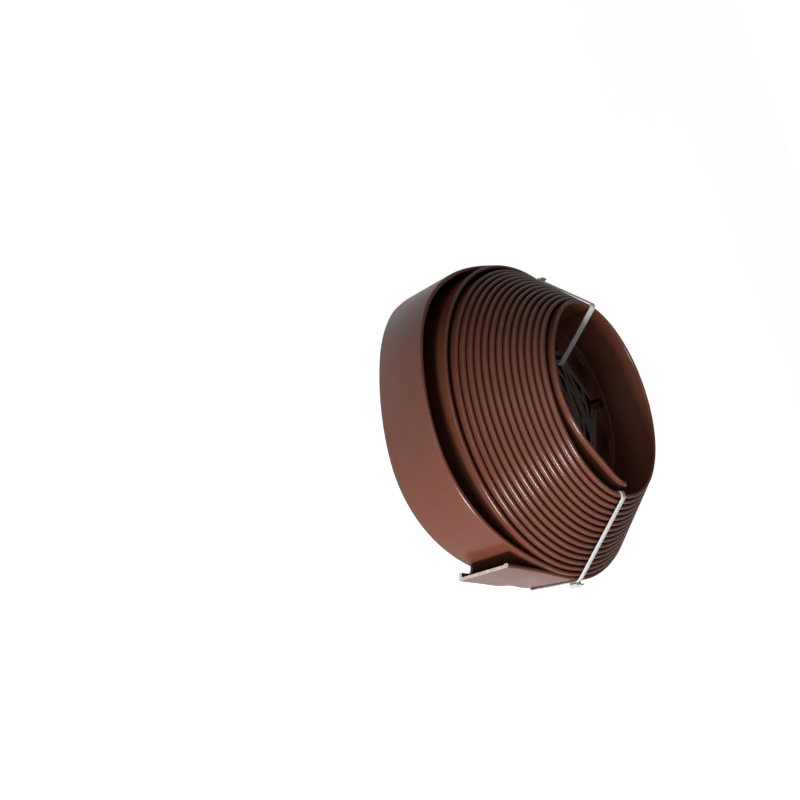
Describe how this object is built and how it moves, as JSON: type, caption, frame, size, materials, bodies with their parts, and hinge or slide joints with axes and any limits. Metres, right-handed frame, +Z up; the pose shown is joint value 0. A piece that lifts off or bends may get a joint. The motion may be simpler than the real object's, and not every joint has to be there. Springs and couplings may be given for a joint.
{
  "type": "coil of plastic lawn edging",
  "caption": "L-shaped plastic lawn edging strip with a tabbed flange, wound into a stepped conical coil and held by cable ties.",
  "frame": {"origin": "centre of the box round the coil, on the surface it lies on", "axes": "+Z is up along the coil's axis, from its wide end to its narrow end; the notch between two tabs of the inner turn faces +Y"},
  "size_m": [0.2446, 0.2596, 0.0949],
  "materials": {
    "edging_plastic": "satin",
    "tie_nylon": "satin"
  },
  "bodies": {
    "root": {"edging_strip": "edging_plastic", "cable_tie_near": "tie_nylon", "cable_tie_far": "tie_nylon"}
  },
  "joints": []
}
